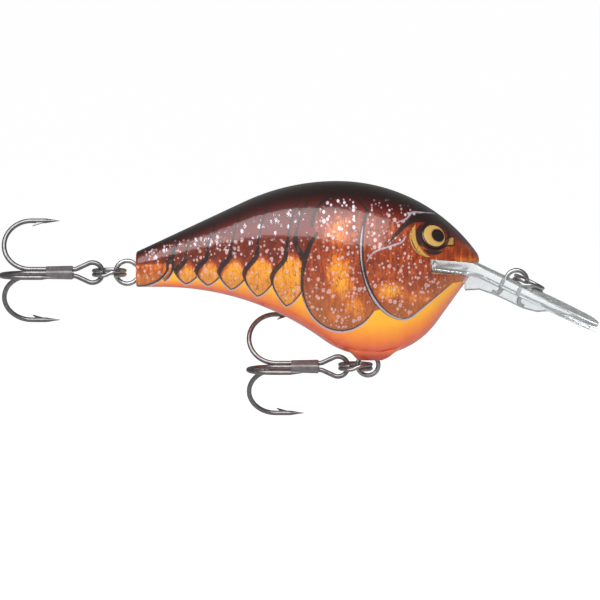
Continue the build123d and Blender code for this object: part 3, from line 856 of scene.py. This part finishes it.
class Shader:
    """A node material, written one node at a time."""

    def __init__(self, name):
        self.material = bpy.data.materials.new(name)
        self.material.use_nodes = True
        self.tree = self.material.node_tree
        self.tree.nodes.clear()
        self.surface = self.node("ShaderNodeBsdfPrincipled")
        output = self.node("ShaderNodeOutputMaterial")
        self.tree.links.new(self.surface.outputs[0], output.inputs["Surface"])

    def set(self, socket, value):
        """A value, a colour or another node's output goes to a socket."""
        if isinstance(value, bpy.types.NodeSocket):
            self.tree.links.new(value, socket)
        else:
            socket.default_value = value

    def node(self, kind, inputs=None, **settings):
        made = self.tree.nodes.new(kind)
        for name, value in settings.items():
            setattr(made, name, value)
        for name, value in (inputs or {}).items():
            self.set(made.inputs[name], value)
        return made

    def finish(self, **sockets):
        """Sets the surface's own sockets, named with underscores for spaces."""
        for name, value in sockets.items():
            self.set(self.surface.inputs[name.replace("_", " ")], value)
        return self.material

    def math(self, operation, a, b=0.0, c=0.0):
        return self.node("ShaderNodeMath", {0: a, 1: b, 2: c}, operation=operation).outputs[0]

    def times(self, a, b):
        return self.math("MULTIPLY", a, b)

    def plus(self, a, b):
        return self.math("ADD", a, b)

    def less(self, a, b):
        return self.math("SUBTRACT", a, b)

    def swing(self, noise, amount):
        """A noise turned into a swing either side of zero."""
        return self.times(self.less(noise, 0.5), amount)

    def step(self, value, low, high):
        """A smooth step from 0 at low to 1 at high."""
        made = self.node(
            "ShaderNodeMapRange",
            {"Value": value, "From Min": low, "From Max": high},
            interpolation_type="SMOOTHSTEP",
        )
        return made.outputs["Result"]

    def mix(self, share, a, b, blend="MIX"):
        made = self.node("ShaderNodeMix", data_type="RGBA", blend_type=blend, clamp_factor=True)
        self.set(made.inputs[0], share)
        self.set(made.inputs[6], a)
        self.set(made.inputs[7], b)
        return made.outputs[2]

    def ramp(self, value, stops):
        """A colour from a value; each stop is a place and a display colour."""
        made = self.node("ShaderNodeValToRGB", {"Fac": value})
        fill_ramp(made, [(place, rgb(*colour)) for place, *colour in stops])
        return made.outputs["Color"]

    def attribute(self, name):
        return self.node("ShaderNodeAttribute", attribute_name=name).outputs["Vector"]

    def parts(self, vector):
        return self.node("ShaderNodeSeparateXYZ", {"Vector": vector}).outputs

    def place(self):
        """The point in the object's own frame, in millimetres."""
        coordinates = self.node("ShaderNodeTexCoord").outputs["Object"]
        return self.node("ShaderNodeVectorMath", {0: coordinates, 3: 1 / MM}, operation="SCALE").outputs[0]

    def scaled(self, vector, x, y, z=1.0, shift=(0, 0, 0)):
        made = self.node("ShaderNodeMapping", {"Vector": vector, "Scale": (x, y, z), "Location": shift})
        return made.outputs[0]

    def noise(self, vector, scale, detail=3.0, roughness=0.5, distortion=0.0):
        inputs = {"Vector": vector, "Scale": scale, "Detail": detail, "Roughness": roughness,
                  "Distortion": distortion}
        return self.node("ShaderNodeTexNoise", inputs).outputs["Fac"]

    def cells(self, vector):
        """Cells about one unit apart: the distance to each centre, and random values."""
        made = self.node("ShaderNodeTexVoronoi", {"Vector": vector, "Scale": 1.0, "Randomness": 0.85})
        return made.outputs["Distance"], self.parts(made.outputs["Color"])

    def bump(self, height, distance, strength):
        inputs = {"Height": height, "Distance": distance, "Strength": strength}
        return self.node("ShaderNodeBump", inputs).outputs["Normal"]


def spots_of(s, place, spacing, radius, keep, tall=0.8):
    """Round pale spots scattered over a place: how far inside a spot, and a random value.
    radius is in millimetres and keep the share of cells that hold a spot."""
    distance, random = s.cells(s.scaled(place, 1 / spacing, tall / spacing))
    size = s.math("MULTIPLY_ADD", random[0], 0.5, 0.62)
    inside = s.less(s.times(size, radius / spacing), distance)
    inside = s.times(inside, spacing)
    kept = s.math("LESS_THAN", random[1], keep)
    return inside, kept, random


def lacquer():
    s = Shader("body_lacquer")
    decal = s.attribute("decal")
    sunny, dusk, glow = s.parts(s.attribute("tone"))
    plated, ink, shine = s.parts(s.attribute("marks"))
    gold, spots, flecks = s.parts(s.attribute("trim"))
    # The painted highlight on the spots, by height on the shield and the head.
    spot_highlight = s.parts(s.attribute("painted_highlight"))[0]
    outside_slot, under_skin, _ = s.parts(s.attribute("wood"))

    coarse = s.noise(decal, 0.55, 4, 0.55)
    medium = s.noise(decal, 1.6, 4, 0.6)
    fine = s.noise(decal, 5.0, 3, 0.6)
    streaks = s.noise(s.scaled(decal, 1.5, 0.42), 1.0, 4, 0.6, 0.6)
    grain = s.noise(decal, 14.0, 2, 0.6)

    belly = s.ramp(s.plus(sunny, s.swing(coarse, 0.08)), [
        (0.0, 250, 172, 30),
        (0.45, 255, 192, 34),
        (0.72, 255, 176, 30),
        (0.86, 244, 128, 32),
        (0.95, 218, 80, 34),
        (1.0, 190, 58, 28),
    ])
    back_place = s.plus(dusk, s.swing(medium, 0.14))
    back = s.ramp(back_place, [
        (0.0, 136, 52, 20),
        (0.22, 116, 28, 18),
        (0.5, 100, 16, 15),
        (0.68, 70, 18, 17),
        (0.8, 38, 22, 20),
        (1.0, 28, 22, 21),
    ])
    upper = s.step(dusk, -0.06, 0.06)
    base = s.mix(upper, belly, back)

    glow_place = s.plus(glow, s.swing(streaks, 1.1))
    glow_place = s.plus(glow_place, s.swing(fine, 0.35))
    plate = s.ramp(glow_place, [
        (0.0, 104, 32, 14),
        (0.25, 150, 56, 18),
        (0.45, 190, 86, 24),
        (0.65, 228, 130, 28),
        (0.9, 246, 164, 34),
    ])
    freckles = s.step(s.noise(decal, 3.6, 3, 0.65), 0.58, 0.68)
    plate = s.mix(s.times(freckles, 0.45), plate, rgb(92, 34, 18))
    veins = s.noise(s.scaled(decal, 0.62, 0.3), 1.0, 3, 0.55, 1.2)
    veins = s.math("ABSOLUTE", s.less(veins, 0.5))
    veins = s.times(s.step(veins, 0.03, 0.006), s.step(medium, 0.38, 0.55))
    plate = s.mix(s.times(veins, 0.7), plate, rgb(84, 28, 12))
    low_down = s.times(s.step(sunny, 0.25, 0.75), s.step(fine, 0.3, 0.6))
    plate = s.mix(s.times(low_down, 0.6), plate, rgb(198, 122, 56))
    in_plate = s.step(s.plus(plated, s.times(fine, 0.1)), 0.0, 0.12)
    dark_top = s.step(back_place, 0.3, 0.66)
    plate = s.mix(dark_top, plate, back)
    base = s.mix(in_plate, base, plate)

    inside, kept, random = spots_of(s, decal, 0.88, 0.3, 0.97)
    disc = s.times(s.step(inside, -0.03, 0.06), kept)
    # Painted highlight: where it lies, the spots are filled and near white; elsewhere they stay lilac with
    # a dim centre.
    core = s.times(s.step(inside, 0.1, 0.2), s.step(spot_highlight, 0.9, 0.2))
    pale = s.mix(spot_highlight, rgb(216, 176, 172), rgb(244, 238, 246))
    speck = s.mix(s.times(core, 0.35), pale, base)
    share = s.times(disc, spots)
    share = s.times(share, s.step(random[2], -1.2, 0.5))
    base = s.mix(s.times(share, 0.9), base, speck)
    small_inside, small_kept, _ = spots_of(s, s.scaled(decal, 1, 1, 1, (37.3, 11.1, 0)), 0.64, 0.2, 0.8)
    small = s.times(s.step(small_inside, -0.03, 0.05), small_kept)
    base = s.mix(s.times(s.times(small, spots), 0.7), base, rgb(206, 170, 166))

    fleck_in, fleck_kept, _ = spots_of(s, s.scaled(decal, 1, 1, 1, (5.7, 3.3, 0)), 0.72, 0.36, 0.62, 0.7)
    torn = s.less(fleck_in, s.times(s.less(fine, 0.42), 1.1))
    clusters = s.plus(s.times(medium, 0.9), s.times(flecks, 0.62))
    clusters = s.step(clusters, 0.62, 0.8)
    fleck = s.times(s.times(s.step(torn, -0.02, 0.06), fleck_kept), clusters)
    base = s.mix(fleck, base, rgb(226, 220, 232))

    wobble = s.swing(fine, 0.22)
    ink_mask = s.step(s.plus(ink, wobble), -0.06, 0.06)
    base = s.mix(s.times(ink_mask, 0.93), base, rgb(33, 25, 23))
    gold_mask = s.step(s.plus(gold, wobble), -0.03, 0.05)
    gold_mask = s.times(gold_mask, s.less(1.0, s.times(ink_mask, 0.9)))
    gold_colour = s.mix(s.step(fine, 0.45, 0.68), rgb(226, 178, 92), rgb(158, 104, 46))
    base = s.mix(gold_mask, base, gold_colour)
    shine_mask = s.step(s.plus(shine, wobble), -0.03, 0.06)
    shine_mask = s.times(shine_mask, s.step(medium, 0.22, 0.48))
    base = s.mix(s.times(shine_mask, 0.88), base, rgb(186, 178, 190))
    base = s.mix(s.times(s.step(grain, 0.5, 0.75), 0.1), base, rgb(40, 24, 20), "MULTIPLY")

    chipped = s.less(0.13, s.plus(outside_slot, s.times(medium, 0.22)))
    edge = s.step(chipped, -0.02, 0.05)
    buried = s.step(under_skin, 0.1, 0.3)
    wood = s.mix(s.noise(s.scaled(decal, 0.5, 5.0), 1.0, 3), rgb(196, 140, 78), rgb(236, 196, 138))
    base = s.mix(s.math("MAXIMUM", s.times(edge, 0.75), buried), base, wood)

    metal = s.times(s.math("MAXIMUM", gold_mask, s.times(shine_mask, 0.6)), 0.3)
    rough = s.plus(s.times(medium, 0.16), 0.3)
    rough = s.plus(rough, s.times(buried, 0.35))
    relief = s.less(s.times(fine, 0.25), s.times(ink_mask, 0.6))
    peel = s.noise(decal, 1.1, 2, 0.5)
    return s.finish(
        Base_Color=base,
        Metallic=metal,
        Roughness=rough,
        Normal=s.bump(relief, 0.00003, 0.8),
        Coat_Weight=1.0,
        Coat_Roughness=0.06,
        Coat_IOR=1.5,
        Coat_Normal=s.bump(s.plus(peel, s.times(fine, 0.12)), 0.00009, 0.45),
        Specular_IOR_Level=0.35,
    )


def boss_lacquer():
    s = Shader("boss_lacquer")
    place = s.place()
    _, _, z = s.parts(place)
    patch = s.noise(place, 0.9, 3)
    height = s.plus(s.step(z, -14.0, -11.8), s.swing(patch, 0.3))
    colour = s.ramp(height, [
        (0.0, 166, 44, 22),
        (0.3, 176, 52, 26),
        (0.55, 194, 68, 31),
        (1.0, 222, 102, 40),
    ])
    peel = s.noise(place, 1.1, 2, 0.5)
    return s.finish(
        Base_Color=colour,
        Roughness=s.plus(s.times(patch, 0.15), 0.3),
        Coat_Weight=1.0,
        Coat_Roughness=0.03,
        Coat_Normal=s.bump(peel, 0.00006, 0.35),
    )


PUPIL = (0.66, 0.0)  # its centre forward of the iris's, and above it
PUPIL_R = 1.2
IRIS_R = 1.98


def eye_enamel():
    s = Shader("eye_enamel")
    place = s.attribute("iris")
    x, y, _ = s.parts(place)
    flat = s.node("ShaderNodeCombineXYZ", {"X": x, "Y": y}).outputs[0]
    radius = s.node("ShaderNodeVectorMath", {0: flat}, operation="LENGTH").outputs["Value"]
    from_pupil = s.node("ShaderNodeVectorMath", {0: flat, 1: (*PUPIL, 0)}, operation="DISTANCE")
    from_pupil = from_pupil.outputs["Value"]
    angle = s.math("ARCTAN2", y, x)
    rays = s.node("ShaderNodeCombineXYZ", {"X": s.times(angle, 9.0), "Y": radius}).outputs[0]
    brushed = s.noise(rays, 2.2, 4, 0.6)
    foil = s.noise(place, 6.0, 3, 0.6)
    wobble = s.swing(s.noise(place, 2.4, 3), 0.16)
    gold = s.mix(brushed, rgb(206, 150, 62), rgb(250, 214, 128))
    gold = s.mix(s.times(foil, 0.35), gold, rgb(244, 204, 110))
    pupil = s.step(s.plus(from_pupil, wobble), PUPIL_R + 0.05, PUPIL_R - 0.05)
    halo = s.step(s.plus(from_pupil, wobble), PUPIL_R + 0.3, PUPIL_R + 0.1)
    outline = s.step(s.plus(radius, wobble), IRIS_R - 0.06, IRIS_R + 0.06)
    colour = s.mix(s.times(halo, 0.35), gold, rgb(92, 52, 20))
    colour = s.mix(pupil, colour, rgb(26, 4, 5))
    colour = s.mix(outline, colour, rgb(40, 8, 10))
    dark = s.math("MAXIMUM", pupil, outline)
    return s.finish(
        Base_Color=colour,
        Metallic=s.times(s.less(1.0, dark), 0.35),
        Roughness=s.plus(s.times(foil, 0.2), 0.34),
        Normal=s.bump(foil, 0.00003, 0.4),
        Coat_Weight=1.0,
        Coat_Roughness=0.02,
    )


def clear_plastic():
    s = Shader("clear_polycarbonate")
    place = s.place()
    flow = s.noise(s.scaled(place, 0.12, 0.5, 0.5), 1.0, 2)
    scuffs = s.noise(s.scaled(place, 0.6, 3.5, 3.5), 1.0, 4, 0.7)
    return s.finish(
        Base_Color=s.mix(flow, rgb(243, 247, 248), rgb(233, 238, 240)),
        Transmission_Weight=0.8,
        IOR=1.45,
        Roughness=s.math("MULTIPLY_ADD", s.step(scuffs, 0.56, 0.8), 0.09, 0.05),
        Normal=s.bump(flow, 0.00008, 0.25),
    )


def metal(name, dark, light, roughness, scratch=0.5, bare=1.0):
    """Plated or bare wire: two tones, drawn marks and uneven gloss. bare is less than 1 where
    a dull film covers the metal."""
    s = Shader(name)
    place = s.place()
    tarnish = s.noise(place, 1.3, 4, 0.6)
    marks = s.noise(place, 9.0, 4, 0.7)
    pits = s.step(s.noise(place, 16.0, 2, 0.6), 0.62, 0.75)
    colour = s.mix(s.step(tarnish, 0.35, 0.65), dark, light)
    rough = s.plus(s.times(marks, 0.16), roughness)
    height = s.less(marks, s.times(pits, 0.4))
    return s.finish(
        Base_Color=colour,
        Metallic=bare,
        Roughness=rough,
        Normal=s.bump(height, 0.000004, scratch),
    )


# ---------------- pieces
body_right, body_left = painted_body()
body_paint = lacquer()
for piece, node in ((body_right, "body_right"), (body_left, "body_left")):
    coat(piece, body_paint)
    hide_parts(node)
    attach(piece, "lure_body")

eye_paint = eye_enamel()
for node in ("eye_right", "eye_left"):
    eye = painted_eye(node + "_domed", node)
    coat(eye, eye_paint)
    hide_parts(node)
    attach(eye, "lure_body")

lip = clear_lip()
coat(lip, clear_plastic())
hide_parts("diving_lip")
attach(lip, "lure_body")

boss = smooth_boss()
coat(boss, boss_lacquer())
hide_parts("belly_plug")
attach(boss, "lure_body")

nickel = metal("bright_nickel_wire", rgb(166, 164, 164), rgb(190, 188, 188), 0.2)
black_nickel = metal("black_nickel_plate", rgb(136, 134, 136), rgb(156, 153, 155), 0.27)
solder = metal("brazed_joint", rgb(116, 112, 113), rgb(132, 128, 129), 0.3, 0.3, 0.55)
for place in ("tail", "belly"):
    node = f"{place}_hook_braze"
    braze = softened(copy_of_node(node + "_flowed", node), BRAZE_VOXEL, BRAZE_SOFTENING)
    coat(braze, solder)
    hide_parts(node)
    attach(braze, f"{place}_treble")

lead = metal("cast_lead", rgb(86, 88, 92), rgb(128, 130, 134), 0.5, 1.0)
brass = metal("drawn_brass", rgb(150, 112, 50), rgb(196, 156, 84), 0.22)
FINISHES = {
    nickel: ["through_wire", "line_tie_wire", "line_tie_ring", "tail_split_ring", "belly_split_ring",
             "rattle_balls"],
    black_nickel: ["tail_double_hook", "tail_single_hook", "belly_double_hook", "belly_single_hook"],
    lead: ["belly_ballast"],
    brass: ["rattle_tube", "rattle_cap"],
}
for finish, names in FINISHES.items():
    for name in names:
        coat(NODES[name], finish)

# ---------------- floor, light and camera
FLOOR_GAP = 0.02
FLOOR_SIZE = 12.0
# The studio's brightness by height: the sine of the elevation, from 0 below to 1 overhead.
SKY = [(0.0, 0.5), (0.47, 0.4), (0.53, 0.12), (0.7, 0.2), (0.88, 0.12), (1.0, 0.06)]
SKY_STRENGTH = 1.0
KEY_AT = Vector((-0.09, 0.26, 0.24))  # from the body's middle; each side of the body has one
KEY_SIZE = (0.46, 0.34)
KEY_RADIANCE = 3.4


def studio_floor():
    low, _ = cad_box
    bpy.ops.mesh.primitive_plane_add(size=FLOOR_SIZE, location=(0, 0, low.z - FLOOR_GAP))
    floor = bpy.context.object
    floor.name = "floor"
    floor.visible_glossy = False
    s = Shader("pale_floor")
    tone = s.mix(s.noise(s.place(), 0.004, 2), rgb(84, 84, 84), rgb(90, 90, 90))
    floor.data.materials.append(s.finish(
        Base_Color=tone,
        Roughness=0.9,
        Specular_IOR_Level=0.0,
        Emission_Color=(1, 1, 1, 1),
        Emission_Strength=0.98,
    ))


def softbox(name, place, aim, size, radiance, glossy):
    """An area light of a given brightness, turned to a point."""
    width, height = size
    lamp = bpy.data.lights.new(name, "AREA")
    lamp.shape = "RECTANGLE"
    lamp.size, lamp.size_y = width, height
    lamp.energy = radiance * pi * width * height
    holder = new_object(name, lamp)
    holder.visible_glossy = glossy
    holder.location = place
    holder.rotation_euler = (Vector(aim) - Vector(place)).to_track_quat("-Z", "Y").to_euler()


def studio_sky():
    """A dim studio that is pale below and dark above, so that wires keep dark sides."""
    world = bpy.data.worlds.new("studio")
    world.use_nodes = True
    nodes, links = world.node_tree.nodes, world.node_tree.links
    nodes.clear()
    kinds = ("TexCoord", "SeparateXYZ", "MapRange", "ValToRGB", "Background", "OutputWorld")
    coordinates, split, height, ramp, sky, output = [nodes.new("ShaderNode" + kind) for kind in kinds]
    height.inputs["From Min"].default_value = -1.0
    fill_ramp(ramp, [(place, (grey, grey, grey, 1)) for place, grey in SKY])
    links.new(coordinates.outputs["Generated"], split.inputs[0])
    links.new(split.outputs["Z"], height.inputs["Value"])
    links.new(height.outputs["Result"], ramp.inputs["Fac"])
    links.new(ramp.outputs["Color"], sky.inputs["Color"])
    sky.inputs["Strength"].default_value = SKY_STRENGTH
    links.new(sky.outputs[0], output.inputs["Surface"])
    bpy.context.scene.world = world


studio_floor()
studio_sky()
body_low, body_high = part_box("body_right")
body_middle = Vector(((body_low.x + body_high.x) / 2, 0, (body_low.z + body_high.z) / 2))
for side, name in ((-1, "near"), (1, "far")):
    key_at = body_middle + KEY_AT * Vector((1, side, 1))
    softbox(f"key_{name}", key_at, body_middle, KEY_SIZE, KEY_RADIANCE, glossy=side < 0)

VIEW_TILT = radians(5.2)
VIEW_WIDTH = 0.10465  # what the picture spans at the object
LENS = 260.0

camera_data = bpy.data.cameras.new("camera")
camera_data.lens = LENS
camera = new_object("camera", camera_data)
aim = (cad_box[0] + cad_box[1]) / 2
aim.y = 0
distance = VIEW_WIDTH / 2 / (camera_data.sensor_width / 2 / LENS)
camera.location = aim + distance * Vector((0, -cos(VIEW_TILT), sin(VIEW_TILT)))
camera.rotation_euler = (radians(90) - VIEW_TILT, 0, 0)
camera_data.clip_start, camera_data.clip_end = 0.01, 30
bpy.context.scene.camera = camera
bpy.context.scene.view_settings.view_transform = "Standard"
